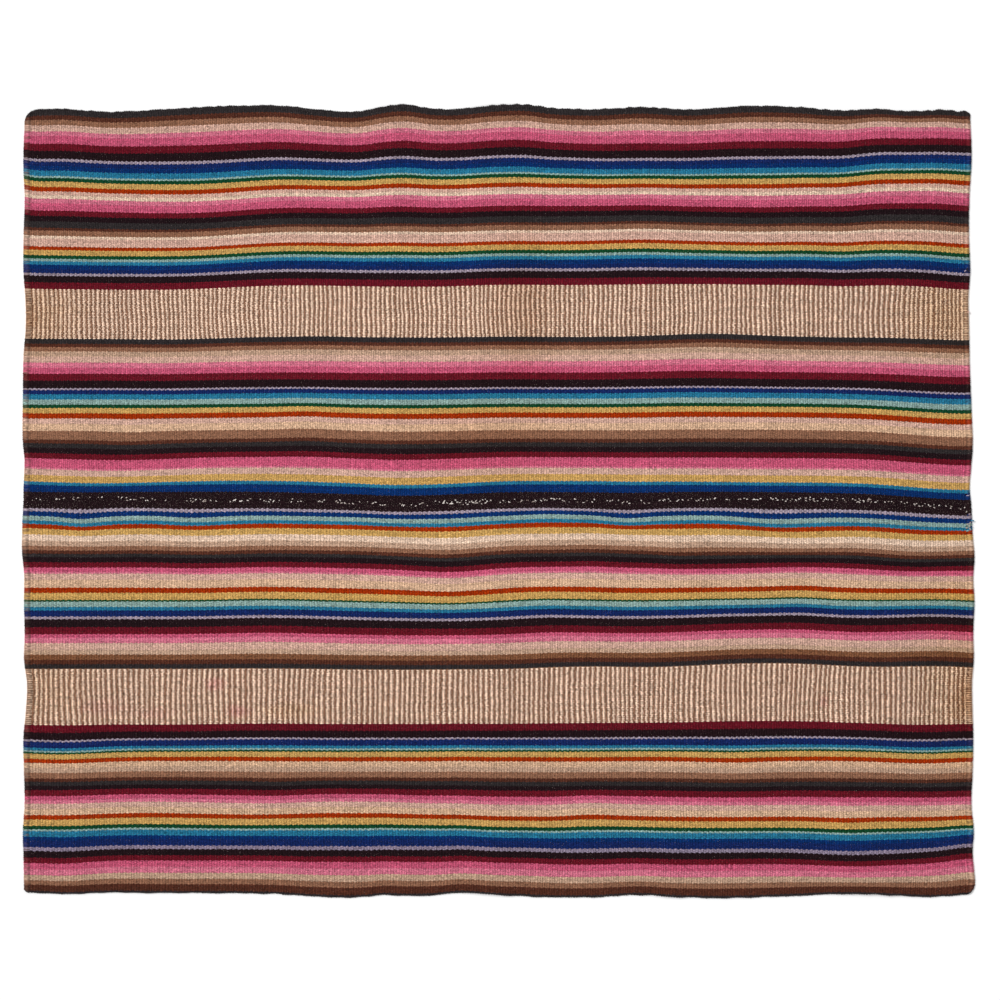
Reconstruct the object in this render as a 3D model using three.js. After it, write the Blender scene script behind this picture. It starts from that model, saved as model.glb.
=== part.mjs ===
// A hand-woven wool blanket lying flat on a surface.
// Two loom panels, each with four finished edges, lie side by side and meet at a seam along the middle.
// Millimetres, +Z up. +X runs along the stripes, +Y across them, and the cloth rests on Z = 0.
import * as THREE from 'three';

// Driving dimensions
const CLOTH_THICKNESS = 3.2;
const SEAM_GAP = 0.3;
const PANEL_WIDTH = 660;
const HALF_LENGTH = 797;
// An end that reaches further or less far than that takes the nearest cloth with it.
const END_FADE = 60;
// The thick cord that the warps loop round at each end swells the face over this width.
const CORD_WIDTH = 10;
const CORD_SWELL = 1.0;
// Grid lines lie this far from the blanket's edges, and then evenly at about the pitch.
const EDGE_LINES = [0, 2.5, 5, 10, 25];
const GRID_PITCH = 28;
const WOOL_ROUGHNESS = 0.95;

// The long edges and the seam sway a little. One row for each section along the length:
// how far the upper edge, the seam and the lower edge lie from the middle line there.
const SECTIONS = [
  { at: -770, upper: 658, seam: 2, lower: -658 },
  { at: -740, upper: 659, seam: 2.5, lower: -660 },
  { at: -655, upper: 654, seam: 3, lower: -658 },
  { at: -535, upper: 660, seam: 2, lower: -659 },
  { at: -445, upper: 664, seam: 1.5, lower: -659 },
  { at: -360, upper: 664, seam: 0.5, lower: -661 },
  { at: -315, upper: 659, seam: -0.5, lower: -664 },
  { at: -225, upper: 656, seam: -3, lower: -665 },
  { at: -195, upper: 662, seam: -4.5, lower: -662 },
  { at: -160, upper: 666, seam: -5, lower: -663 },
  { at: -105, upper: 659, seam: -3.5, lower: -662 },
  { at: -65, upper: 659, seam: -2, lower: -658 },
  { at: 0, upper: 665, seam: 0.5, lower: -662 },
  { at: 45, upper: 666.5, seam: 1, lower: -664 },
  { at: 85, upper: 661, seam: 0.5, lower: -666 },
  { at: 155, upper: 658, seam: 0, lower: -666 },
  { at: 240, upper: 662, seam: 0, lower: -662 },
  { at: 310, upper: 658, seam: 2, lower: -666 },
  { at: 430, upper: 664, seam: 3, lower: -666 },
  { at: 505, upper: 662, seam: 2, lower: -663 },
  { at: 580, upper: 656, seam: 0, lower: -660 },
  { at: 635, upper: 659, seam: -2, lower: -661 },
  { at: 690, upper: 655, seam: -5, lower: -664 },
  { at: 745, upper: 657, seam: -8.5, lower: -665 },
  { at: 780, upper: 655, seam: -10.5, lower: -662 },
];

// The two ends draw in at the ribbed bands, wave a little and step at the seam.
// One row for each place across a panel: how far its left and right ends reach.
const UPPER_ENDS = [
  { at: 0, left: -798, right: 794 },
  { at: 40, left: -797, right: 791 },
  { at: 65, left: -796, right: 793 },
  { at: 100, left: -799, right: 796 },
  { at: 165, left: -799, right: 794 },
  { at: 240, left: -798, right: 791 },
  { at: 305, left: -794, right: 790 },
  { at: 345, left: -795, right: 789 },
  { at: 395, left: -798, right: 792 },
  { at: 440, left: -798, right: 790 },
  { at: 515, left: -796, right: 791 },
  { at: 560, left: -798, right: 794 },
  { at: 640, left: -796, right: 792 },
];
const LOWER_ENDS = [
  { at: 0, left: -798, right: 794 },
  { at: 45, left: -800, right: 796 },
  { at: 90, left: -800, right: 799 },
  { at: 120, left: -797, right: 797 },
  { at: 170, left: -797, right: 799 },
  { at: 230, left: -796, right: 797 },
  { at: 265, left: -797, right: 798 },
  { at: 310, left: -792, right: 795 },
  { at: 350, left: -794, right: 796 },
  { at: 395, left: -798, right: 797 },
  { at: 450, left: -797, right: 796 },
  { at: 510, left: -796, right: 794 },
  { at: 560, left: -799, right: 798 },
  { at: 590, left: -798, right: 796 },
  { at: 635, left: -797, right: 800 },
];

// Each outer corner is rounded by wear.
const UPPER_CORNERS = { left: 24, right: 9 };
const LOWER_CORNERS = { left: 8, right: 20 };

// Low folds that lift the cloth off the surface. One row for each fold: the ends of its crest,
// how high it stands, and how far it reaches to either side before the cloth lies flat again.
const FOLDS = [
  { name: 'middle fold, upper', from: [-12, 640], to: [-10, 60], height: 4.5, reach: 70 },
  { name: 'middle fold, lower', from: [-15, -300], to: [-12, -640], height: 3.5, reach: 65 },
  { name: 'beside the middle, top', from: [-190, 640], to: [-180, 420], height: 4, reach: 60 },
  { name: 'beside the middle, seam', from: [-200, 260], to: [-172, 70], height: 4, reach: 60 },
  { name: 'right of the seam middle', from: [255, 20], to: [313, -166], height: 4, reach: 60 },
  { name: 'slanting, near the seam', from: [-10, -130], to: [140, -10], height: 4.5, reach: 48 },
  { name: 'slanting, further down', from: [-40, -226], to: [160, -140], height: 4, reach: 48 },
  { name: 'left end', from: [-728, 180], to: [-690, 20], height: 4, reach: 60 },
  { name: 'left end, below the seam', from: [-640, -70], to: [-662, -160], height: 3, reach: 50 },
  { name: 'right swell, below the seam', from: [620, 10], to: [640, -310], height: 7, reach: 120 },
  { name: 'right swell, bottom', from: [640, -400], to: [624, -600], height: 6, reach: 110 },
  { name: 'right end, upper', from: [730, 540], to: [700, 400], height: 3.5, reach: 62 },
  { name: 'left end, upper', from: [-735, 492], to: [-640, 484], height: 3.5, reach: 55 },
  { name: 'bottom edge', from: [262, -540], to: [285, -640], height: 3, reach: 55 },
];

// A smooth curve through one column of a table, as a function of the rows' places.
function curveThrough(rows, column) {
  const places = rows.map((row) => row.at);
  const values = rows.map((row) => row[column]);
  const curve = new THREE.CubicInterpolant(places, values, 1, new Float64Array(1));
  return (place) => curve.evaluate(place)[0];
}

const upperEdge = curveThrough(SECTIONS, 'upper');
const lowerEdge = curveThrough(SECTIONS, 'lower');
const seamLine = curveThrough(SECTIONS, 'seam');

// Height of the cloth's underside above the surface.
function foldLift(x, y) {
  const here = new THREE.Vector3(x, y, 0);
  const nearest = new THREE.Vector3();
  let lift = 0;
  for (const fold of FOLDS) {
    const crest = new THREE.Line3(new THREE.Vector3(...fold.from, 0), new THREE.Vector3(...fold.to, 0));
    crest.closestPointToPoint(here, true, nearest);
    const share = Math.min(1, nearest.distanceTo(here) / fold.reach);
    lift += fold.height * (1 - share ** 2) ** 2;
  }
  return lift;
}

// How far the end cord swells the face, by the distance from the end.
function cordSwell(fromEnd) {
  const share = Math.min(1, Math.max(0, fromEnd / CORD_WIDTH));
  return CORD_SWELL * Math.sin(Math.PI * share);
}

// Shares from 0 to 1 of a length, close together near the edges that ask for it.
function gridShares(length, closeStart, closeEnd) {
  const margin = EDGE_LINES.at(-1);
  const start = closeStart ? EDGE_LINES : [0];
  const end = closeEnd ? EDGE_LINES.map((line) => length - line).reverse() : [length];
  const low = closeStart ? margin : 0;
  const high = closeEnd ? length - margin : length;
  const steps = Math.round((high - low) / GRID_PITCH);
  const between = [];
  for (let step = 1; step < steps; step += 1) {
    between.push(low + ((high - low) * step) / steps);
  }
  return [...start, ...between, ...end].map((place) => place / length);
}

// Draws a square corner in to a round one: the square's far corner goes to the middle of the arc.
function roundCorner(fromEnd, fromEdge, radius) {
  if (fromEnd >= radius || fromEdge >= radius) {
    return [fromEnd, fromEdge];
  }
  const a = 1 - fromEnd / radius;
  const b = 1 - fromEdge / radius;
  const roundA = a * Math.sqrt(1 - b ** 2 / 2);
  const roundB = b * Math.sqrt(1 - a ** 2 / 2);
  return [radius * (1 - roundA), radius * (1 - roundB)];
}

// One point of a panel's outline plan. Along runs 0 to 1 from the left end to the right one,
// and across runs 0 to 1 from the seam to the outer edge.
function planPoint(panel, along, across) {
  const left = panel.leftEnd(across * PANEL_WIDTH);
  const right = panel.rightEnd(across * PANEL_WIDTH);
  const even = HALF_LENGTH * (2 * along - 1);
  const nearRight = even > 0;
  const reach = nearRight ? right - HALF_LENGTH : left + HALF_LENGTH;
  const x = even + reach * Math.max(0, 1 - (HALF_LENGTH - Math.abs(even)) / END_FADE);
  const radius = nearRight ? panel.corners.right : panel.corners.left;
  const seam = seamLine(x) + (panel.side * SEAM_GAP) / 2;
  const width = Math.abs(panel.edge(x) - seam);
  const squareFromEnd = nearRight ? right - x : x - left;
  const [fromEnd, fromEdge] = roundCorner(squareFromEnd, width * (1 - across), radius);
  return {
    x: nearRight ? right - fromEnd : left + fromEnd,
    y: seam + panel.side * (width - fromEdge),
    fromEnd: squareFromEnd,
  };
}

// A closed sheet: the face, the underside on the same folds, and a wall round the rim.
function panelGeometry(panel) {
  const columns = gridShares(2 * HALF_LENGTH, true, true);
  const fromSeam = gridShares(PANEL_WIDTH, false, true);
  const rows = panel.side > 0 ? fromSeam : [...fromSeam].reverse();
  const face = [];
  const underside = [];
  for (const across of rows) {
    for (const along of columns) {
      const { x, y, fromEnd } = planPoint(panel, along, across);
      const lift = foldLift(x, y);
      face.push(x, y, lift + CLOTH_THICKNESS + cordSwell(fromEnd));
      underside.push(x, y, lift);
    }
  }
  const wide = columns.length;
  const layer = rows.length * wide;
  const triangles = [];
  const quad = (a, b, c, d) => triangles.push(a, b, c, a, c, d);
  for (let row = 0; row + 1 < rows.length; row += 1) {
    for (let column = 0; column + 1 < wide; column += 1) {
      const a = row * wide + column;
      const b = a + 1;
      const c = b + wide;
      const d = a + wide;
      quad(a, b, c, d);
      quad(layer + d, layer + c, layer + b, layer + a);
    }
  }
  const rim = [];
  for (let column = 0; column < wide - 1; column += 1) rim.push(column);
  for (let row = 0; row < rows.length - 1; row += 1) rim.push(row * wide + wide - 1);
  for (let column = wide - 1; column > 0; column -= 1) rim.push(layer - wide + column);
  for (let row = rows.length - 1; row > 0; row -= 1) rim.push(row * wide);
  rim.forEach((here, place) => {
    const next = rim[(place + 1) % rim.length];
    quad(layer + here, layer + next, next, here);
  });
  const geometry = new THREE.BufferGeometry();
  geometry.setAttribute('position', new THREE.Float32BufferAttribute([...face, ...underside], 3));
  geometry.setIndex(triangles);
  geometry.computeVertexNormals();
  return geometry;
}

const PANELS = [
  {
    name: 'upper_panel',
    side: 1,
    edge: upperEdge,
    leftEnd: curveThrough(UPPER_ENDS, 'left'),
    rightEnd: curveThrough(UPPER_ENDS, 'right'),
    corners: UPPER_CORNERS,
    colour: 0x86605c,
  },
  {
    name: 'lower_panel',
    side: -1,
    edge: lowerEdge,
    leftEnd: curveThrough(LOWER_ENDS, 'left'),
    rightEnd: curveThrough(LOWER_ENDS, 'right'),
    corners: LOWER_CORNERS,
    colour: 0x8c6a5e,
  },
];

const blanket = new THREE.Group();
for (const panel of PANELS) {
  const wool = new THREE.MeshStandardMaterial({
    color: panel.colour,
    roughness: WOOL_ROUGHNESS,
    metalness: 0,
  });
  const mesh = new THREE.Mesh(panelGeometry(panel), wool);
  mesh.name = panel.name;
  blanket.add(mesh);
}

export default blanket;
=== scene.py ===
# %% [markdown]
# # A striped wool blanket, woven in two panels
# This lesson dresses a flat blanket. Its solids already give the outline, the thickness and the low folds,
# and they come in as a fixed frame that nothing here moves. Blender adds what the eye reads as cloth: the
# ribs of the weave, the order of the coloured warps, the looped ends and the sewing.

# %% Load the solids as a fixed frame
import math
from collections import namedtuple

import bpy
import numpy as np
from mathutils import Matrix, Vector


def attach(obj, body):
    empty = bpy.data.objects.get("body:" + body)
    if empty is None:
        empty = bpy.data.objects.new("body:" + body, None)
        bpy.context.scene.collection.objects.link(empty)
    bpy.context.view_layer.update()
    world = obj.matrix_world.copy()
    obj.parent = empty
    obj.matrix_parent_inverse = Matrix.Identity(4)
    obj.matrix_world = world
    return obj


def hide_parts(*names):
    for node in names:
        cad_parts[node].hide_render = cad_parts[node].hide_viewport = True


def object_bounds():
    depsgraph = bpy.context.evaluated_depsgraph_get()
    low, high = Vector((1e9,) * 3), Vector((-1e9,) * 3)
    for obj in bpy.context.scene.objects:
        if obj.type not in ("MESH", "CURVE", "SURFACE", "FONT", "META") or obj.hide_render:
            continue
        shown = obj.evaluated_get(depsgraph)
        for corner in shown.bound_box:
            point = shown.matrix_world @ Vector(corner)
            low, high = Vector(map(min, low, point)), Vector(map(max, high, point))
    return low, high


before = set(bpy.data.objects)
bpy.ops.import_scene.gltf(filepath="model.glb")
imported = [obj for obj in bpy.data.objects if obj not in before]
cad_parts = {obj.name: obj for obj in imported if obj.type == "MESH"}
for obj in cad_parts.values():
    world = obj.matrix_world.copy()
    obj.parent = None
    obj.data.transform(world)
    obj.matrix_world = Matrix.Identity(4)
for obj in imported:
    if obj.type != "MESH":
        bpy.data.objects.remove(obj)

cad_low, cad_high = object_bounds()
MM = 0.001
print("solids:", sorted(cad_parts), "box", [round(v, 4) for v in (*cad_low, *cad_high)])

# %% [markdown]
# ## The camera
# The blanket was photographed face on, so the camera hangs straight above the cloth and looks down. A long
# lens from four metres keeps the edges square. The cloth's place in the picture fixes the lens: its two ends
# lie at known pixels, so one pixel is a known length.

# %% Hang the camera above the cloth
PHOTO_PIXELS = 1000
PHOTO_LEFT, PHOTO_RIGHT = 22, 975
PHOTO_TOP, PHOTO_BOTTOM = 104, 898
CAMERA_HEIGHT = 4.0
scene = bpy.context.scene


def add_object(name, data):
    """A new object in the scene, at the origin."""
    made = bpy.data.objects.new(name, data)
    scene.collection.objects.link(made)
    return made


metres_per_pixel = (cad_high.x - cad_low.x) / (PHOTO_RIGHT - PHOTO_LEFT)
camera_data = bpy.data.cameras.new("photo_camera")
camera = add_object("photo_camera", camera_data)
scene.camera = camera
camera_data.lens = camera_data.sensor_width * CAMERA_HEIGHT / (PHOTO_PIXELS * metres_per_pixel)
camera.location = (
    (cad_low.x + cad_high.x) / 2 + (PHOTO_PIXELS - PHOTO_LEFT - PHOTO_RIGHT) / 2 * metres_per_pixel,
    (cad_low.y + cad_high.y) / 2 + (PHOTO_TOP + PHOTO_BOTTOM - PHOTO_PIXELS) / 2 * metres_per_pixel,
    CAMERA_HEIGHT,
)
print(f"lens {camera_data.lens:.1f} mm, one pixel is {metres_per_pixel / MM:.2f} mm")

# %% [markdown]
# ## Floor and light
# A plain white floor and soft light, as in a studio. A lamp like a wide window stands far off to the upper
# left, so every rib has a lit and a shaded side. A weak lamp overhead makes the middle a little brighter than
# the edges, and the even light of the room fills the rest. The floor lies a hair under the cloth. The
# Standard view keeps dyed colours as they are.

# %% Make the floor and the soft light
FLOOR_HALF = 40.0
FLOOR_DROP = 0.2 * MM
FLOOR_WHITE = (0.93, 0.93, 0.93, 1)
FLOOR_ROUGHNESS = 0.9
LAMP_FROM = (-0.62, 0.34, 0.71)
LAMP_STRENGTH = 2.1
LAMP_ANGLE = math.radians(24)
ROOM_LIGHT = 0.62
OVERHEAD_PLACE = (-0.25, 0.22, 0.85)
OVERHEAD_SIZE = (1.3, 0.4)
OVERHEAD_POWER = 2.0


def new_material(name, roughness, specular):
    """A material, its node tree and its shader."""
    made = bpy.data.materials.new(name)
    made.use_nodes = True
    shader = made.node_tree.nodes["Principled BSDF"]
    shader.inputs["Roughness"].default_value = roughness
    shader.inputs["Specular IOR Level"].default_value = specular
    return made, made.node_tree, shader


scene.view_settings.view_transform = "Standard"

floor_mesh = bpy.data.meshes.new("floor")
corners = [(x * FLOOR_HALF, y * FLOOR_HALF, -FLOOR_DROP) for x, y in ((-1, -1), (1, -1), (1, 1), (-1, 1))]
floor_mesh.from_pydata(corners, [], [(0, 1, 2, 3)])
floor = add_object("floor", floor_mesh)
paper, _, paper_shader = new_material("white_floor", FLOOR_ROUGHNESS, 0.0)
paper_shader.inputs["Base Color"].default_value = FLOOR_WHITE
floor_mesh.materials.append(paper)

lamp_data = bpy.data.lights.new("window_light", "SUN")
lamp_data.energy = LAMP_STRENGTH
lamp_data.angle = LAMP_ANGLE
lamp = add_object("window_light", lamp_data)
lean_over = math.atan2(math.hypot(LAMP_FROM[0], LAMP_FROM[1]), LAMP_FROM[2])
lamp.rotation_euler = (0, lean_over, math.atan2(LAMP_FROM[1], LAMP_FROM[0]))

overhead_data = bpy.data.lights.new("overhead_light", "AREA")
overhead_data.shape = "RECTANGLE"
overhead_data.size, overhead_data.size_y = OVERHEAD_SIZE
overhead_data.energy = OVERHEAD_POWER
overhead = add_object("overhead_light", overhead_data)
overhead.location = OVERHEAD_PLACE
overhead.visible_camera = False

room = bpy.data.worlds.new("room")
scene.world = room
room.use_nodes = True
sky_light = room.node_tree.nodes["Background"]
sky_light.inputs["Color"].default_value = (1, 1, 1, 1)
sky_light.inputs["Strength"].default_value = ROOM_LIGHT
print("floor", 2 * FLOOR_HALF, "m wide, lamps:", lamp.name, "and", overhead.name)

# %% [markdown]
# ## The plan of the cloth
# A hand loom leaves no edge quite straight. The long edges and the seam sway by a few millimetres, the ends
# draw in at the ribbed bands, and the corners are worn round. These tables repeat the sizes of the solids,
# in millimetres, so that the sheet and its solid share one outline. Only the gap at the seam is narrower
# here, because the sewing draws the panels together. A smooth curve runs through each column. A panel also
# has its number of picks, the weft's passes, and how much they widen from left to right.

# %% Write down the outline
CLOTH_THICKNESS = 3.2
SEAM_GAP = 0.1
PANEL_WIDTH = 660
HALF_LENGTH = 797
END_FADE = 60

Section = namedtuple("Section", "at upper seam lower")
SECTIONS = [
    Section(-770, 658, 2, -658),
    Section(-740, 659, 2.5, -660),
    Section(-655, 654, 3, -658),
    Section(-535, 660, 2, -659),
    Section(-445, 664, 1.5, -659),
    Section(-360, 664, 0.5, -661),
    Section(-315, 659, -0.5, -664),
    Section(-225, 656, -3, -665),
    Section(-195, 662, -4.5, -662),
    Section(-160, 666, -5, -663),
    Section(-105, 659, -3.5, -662),
    Section(-65, 659, -2, -658),
    Section(0, 665, 0.5, -662),
    Section(45, 666.5, 1, -664),
    Section(85, 661, 0.5, -666),
    Section(155, 658, 0, -666),
    Section(240, 662, 0, -662),
    Section(310, 658, 2, -666),
    Section(430, 664, 3, -666),
    Section(505, 662, 2, -663),
    Section(580, 656, 0, -660),
    Section(635, 659, -2, -661),
    Section(690, 655, -5, -664),
    Section(745, 657, -8.5, -665),
    Section(780, 655, -10.5, -662),
]

End = namedtuple("End", "at left right")
UPPER_ENDS = [
    End(0, -798, 794),
    End(40, -797, 791),
    End(65, -796, 793),
    End(100, -799, 796),
    End(165, -799, 794),
    End(240, -798, 791),
    End(305, -794, 790),
    End(345, -795, 789),
    End(395, -798, 792),
    End(440, -798, 790),
    End(515, -796, 791),
    End(560, -798, 794),
    End(640, -796, 792),
]
LOWER_ENDS = [
    End(0, -798, 794),
    End(45, -800, 796),
    End(90, -800, 799),
    End(120, -797, 797),
    End(170, -797, 799),
    End(230, -796, 797),
    End(265, -797, 798),
    End(310, -792, 795),
    End(350, -794, 796),
    End(395, -798, 797),
    End(450, -797, 796),
    End(510, -796, 794),
    End(560, -799, 798),
    End(590, -798, 796),
    End(635, -797, 800),
]


def curve_through(rows, column):
    """A smooth curve through one column of a table, as a function of the rows' places."""
    at = np.array([row.at for row in rows], float)
    value = np.array([getattr(row, column) for row in rows], float)
    slope = np.gradient(value, at)

    def curve(place):
        place = np.clip(place, at[0], at[-1])
        i = np.clip(np.searchsorted(at, place) - 1, 0, len(at) - 2)
        span = at[i + 1] - at[i]
        s = (place - at[i]) / span
        start = value[i] * (1 + 2 * s) + span * slope[i] * s
        end = value[i + 1] * (3 - 2 * s) - span * slope[i + 1] * (1 - s)
        return start * (1 - s) ** 2 + end * s**2

    return curve


seam_line = curve_through(SECTIONS, "seam")
Panel = namedtuple("Panel", "name side edge left right left_round right_round picks widening")
PANELS = [
    Panel(
        "upper", 1, curve_through(SECTIONS, "upper"),
        curve_through(UPPER_ENDS, "left"), curve_through(UPPER_ENDS, "right"), 24, 9, 398, 0.06,
    ),
    Panel(
        "lower", -1, curve_through(SECTIONS, "lower"),
        curve_through(LOWER_ENDS, "left"), curve_through(LOWER_ENDS, "right"), 8, 20, 366, -0.06,
    ),
]
print("panels:", [panel.name for panel in PANELS])

# %% [markdown]
# ## The folds
# Cloth that has been folded away keeps low, soft ridges. Each is given along its crest, with its own height
# and reach, and falls away to cloth that lies flat. A rule that is exactly zero past the reach keeps the rest
# of the blanket down on the floor.

# %% Place the folds
Fold = namedtuple("Fold", "from_x from_y to_x to_y height reach")
FOLDS = [
    Fold(-12, 640, -10, 60, 4.5, 70),
    Fold(-15, -300, -12, -640, 3.5, 65),
    Fold(-190, 640, -180, 420, 4, 60),
    Fold(-200, 260, -172, 70, 4, 60),
    Fold(255, 20, 313, -166, 4, 60),
    Fold(-10, -130, 140, -10, 4.5, 48),
    Fold(-40, -226, 160, -140, 4, 48),
    Fold(-728, 180, -690, 20, 4, 60),
    Fold(-640, -70, -662, -160, 3, 50),
    Fold(620, 10, 640, -310, 7, 120),
    Fold(640, -400, 624, -600, 6, 110),
    Fold(730, 540, 700, 400, 3.5, 62),
    Fold(-735, 492, -640, 484, 3.5, 55),
    Fold(262, -540, 285, -640, 3, 55),
]


def fold_lift(x, y):
    """Height of the cloth's underside above the floor, in millimetres."""
    lift = np.zeros_like(x)
    for fold in FOLDS:
        run_x, run_y = fold.to_x - fold.from_x, fold.to_y - fold.from_y
        along = ((x - fold.from_x) * run_x + (y - fold.from_y) * run_y) / (run_x**2 + run_y**2)
        along = np.clip(along, 0, 1)
        away = np.hypot(x - fold.from_x - along * run_x, y - fold.from_y - along * run_y)
        lift += fold.height * (1 - np.minimum(1, away / fold.reach) ** 2) ** 2
    return lift


print(len(FOLDS), "folds, the highest", max(fold.height for fold in FOLDS), "mm")

# %% [markdown]
# ## The warping order
# Every stripe is a run of warps of one dyed yarn. The weaver winds them in this order before the loom is
# dressed, so the chart below is the real recipe: yarn, then the number of warps, from the top of the blanket
# down. In the two wide bands a light and a dark warp take turns, and there the weave itself makes ribs.

# %% Chart the warps of each panel
WARPS = {
    "upper": """
        charcoal 8, dark_brown 5, brown 6, rose 7, light_pink 5, pink 9, maroon 8, black 9, lavender 3,
        navy 5, deep_blue 5, sky 6, aqua 2, green 4, gold 6, rust 5, rose 4, cream 4, light_pink 5, pink 8,
        maroon 6, black 6, charcoal 7, dark_brown 3, brown 6, cream 3, rose 9, rust 4, gold 6, green 4,
        aqua 3, sky 4, deep_blue 5, navy 5, lavender 3, black 8, maroon 8,
        ribs 59,
        charcoal 6, dark_brown 4, brown 5, fawn 6, rose 7, light_pink 6, pink 7, maroon 8, black 9,
        lavender 2, navy 5, sky 6, aqua 6, green 4, gold 6, rust 6, rose 6, beige 8, brown 10, dark_brown 4,
        charcoal 5, black 6, maroon 6, pink 10, light_pink 2, rose 7, gold 8, sky 4, deep_blue 9, black 10""",
    "lower": """
        black 9, lavender 3, deep_blue 5, aqua 5, sky 4, rust 5, gold 7, cream 7, fawn 6, brown 5,
        dark_brown 4, charcoal 4, black 6, maroon 6, pink 5, light_pink 2, rose 7, beige 9, rust 6, gold 8,
        green 2, aqua 6, sky 4, navy 7, lavender 3, black 9, maroon 8, pink 4, light_pink 6, rose 8, fawn 5,
        umber 6, dark_brown 5, charcoal 5,
        ribs 62,
        maroon 8, black 8, lavender 2, navy 7, sky 3, aqua 2, green 2, gold 6, rust 5, beige 6, fawn 6,
        brown 7, dark_brown 4, charcoal 5, black 5, maroon 7, pink 5, light_pink 4, rose 6, beige 7, rust 5,
        gold 7, green 4, aqua 2, sky 6, deep_blue 4, navy 7, mauve 4, black 7, maroon 6, pink 7,
        light_pink 7, fawn 7, brown 6, dark_brown 8, charcoal 3""",
}
Stripe = namedtuple("Stripe", "yarn first count")


def read_chart(text):
    """The stripes of a chart, each with the number of its first warp."""
    stripes = []
    for entry in text.replace("\n", " ").split(","):
        yarn, count = entry.split()
        first = stripes[-1].first + stripes[-1].count if stripes else 0
        stripes.append(Stripe(yarn, first, int(count)))
    return stripes


charts = {name: read_chart(text) for name, text in WARPS.items()}
warp_total = {name: sum(stripe.count for stripe in chart) for name, chart in charts.items()}
print("warps:", warp_total)

# %% [markdown]
# ## How the stripes sway
# No stripe runs straight: where the weaver beat harder or the cloth was pulled, a group of warps drifts by
# about a centimetre at most and comes back. Each row is one such pull, with its middle, its reach along and
# across the stripes, and how far it carries them towards the upper edge. The edges themselves stay put.

# %% Pull the stripes out of line
Pull = namedtuple("Pull", "x y along across sway")
PULLS = [
    Pull(-797, 540, 14, 60, 3.5),
    Pull(-740, 200, 120, 160, -2),
    Pull(-720, 430, 190, 130, -8),
    Pull(-640, 60, 130, 45, -6),
    Pull(-620, 115, 45, 30, -2.5),
    Pull(-560, 230, 90, 120, -2),
    Pull(-520, 380, 120, 120, -4),
    Pull(-500, 530, 130, 110, -8),
    Pull(-320, 120, 60, 60, 3),
    Pull(-300, 290, 60, 50, 1.5),
    Pull(-197, 580, 120, 80, -1.5),
    Pull(-160, 30, 190, 45, -3),
    Pull(-150, 390, 110, 80, -3),
    Pull(120, 500, 60, 60, 1.5),
    Pull(225, 590, 80, 50, -3),
    Pull(240, 450, 100, 70, 3.5),
    Pull(300, 230, 100, 100, 2),
    Pull(366, 290, 90, 60, 4),
    Pull(437, 480, 60, 120, -2),
    Pull(440, 40, 180, 50, -5),
    Pull(578, 400, 50, 110, -2),
    Pull(700, 560, 130, 110, 11),
    Pull(740, 10, 130, 60, -4),
    Pull(770, 130, 120, 130, -7),
    Pull(790, 575, 35, 45, 2.8),
    Pull(800, 380, 80, 90, -7),
    Pull(-761, -610, 90, 40, -5),
    Pull(-740, -410, 90, 50, -5.5),
    Pull(-700, -20, 36, 26, -4.5),
    Pull(-690, -30, 90, 70, -4),
    Pull(-580, -520, 120, 45, 4),
    Pull(-560, -380, 100, 40, -2),
    Pull(-515, -20, 50, 26, -3.5),
    Pull(-500, -70, 80, 70, -3),
    Pull(-380, -200, 110, 80, 3),
    Pull(-370, -490, 55, 50, -2),
    Pull(-268, -600, 50, 40, 2),
    Pull(-267, -520, 130, 50, 6.5),
    Pull(-127, -570, 60, 70, 2),
    Pull(-80, -110, 70, 80, -6),
    Pull(-80, -615, 80, 40, -2),
    Pull(84, -190, 60, 80, 3),
    Pull(88, -20, 45, 26, 3),
    Pull(155, -90, 45, 90, 2),
    Pull(155, -290, 90, 80, 4),
    Pull(155, -520, 50, 40, 4),
    Pull(217, -20, 40, 26, -4.5),
    Pull(240, -610, 180, 40, -3),
    Pull(296, -80, 40, 40, -2.5),
    Pull(366, -90, 80, 45, -4),
    Pull(395, -440, 60, 50, -2),
    Pull(420, -365, 150, 40, 2),
    Pull(450, -270, 170, 95, 10),
    Pull(455, -18, 60, 22, -5),
    Pull(500, -55, 90, 40, -7),
    Pull(508, -170, 45, 60, 2.2),
    Pull(578, -530, 50, 50, -2.4),
    Pull(590, -600, 100, 50, -8),
    Pull(690, -85, 80, 50, -6),
    Pull(710, -420, 60, 60, -3),
    Pull(740, -235, 100, 90, 8),
    Pull(800, -590, 60, 50, 6),
]
EDGE_CALM = 30


def stripe_sway(x, y, from_edge):
    """How far the warps drift across the stripes, in millimetres."""
    sway = np.zeros_like(x)
    for pull in PULLS:
        sway += pull.sway * np.exp(-(((x - pull.x) / pull.along) ** 2) - ((y - pull.y) / pull.across) ** 2)
    calm = np.clip(from_edge / EDGE_CALM, 0, 1)
    return sway * calm * calm * (3 - 2 * calm)


print(len(PULLS), "pulls")

# %% [markdown]
# ## The sheet of a panel
# Each panel is one closed sheet with a face and a back. The wool weft is thick, so every pick stands up as a
# rib across the stripes. Two lines of points a pick, one on its crest and one in the groove after it, are
# enough for the rib, and rows of points follow the warps. The sizes of the picks vary as hand-spun yarn does.

# %% Lay out the picks and the rows
SEED = 12
CORD_WIDTH = 10
CORD_SWELL = 1.0
END_LINES = (0, 0.03, 0.1, 0.2, 0.35, 0.5, 0.65, 0.8)
ROW_LINES = (0, 0.3, 0.9, 1.8, 4, 9)
ROW_PITCH = 14
PICK_UNEVEN = 0.11
RIB_UNEVEN = 0.22
Picks = namedtuple("Picks", "lines x height")


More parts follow.
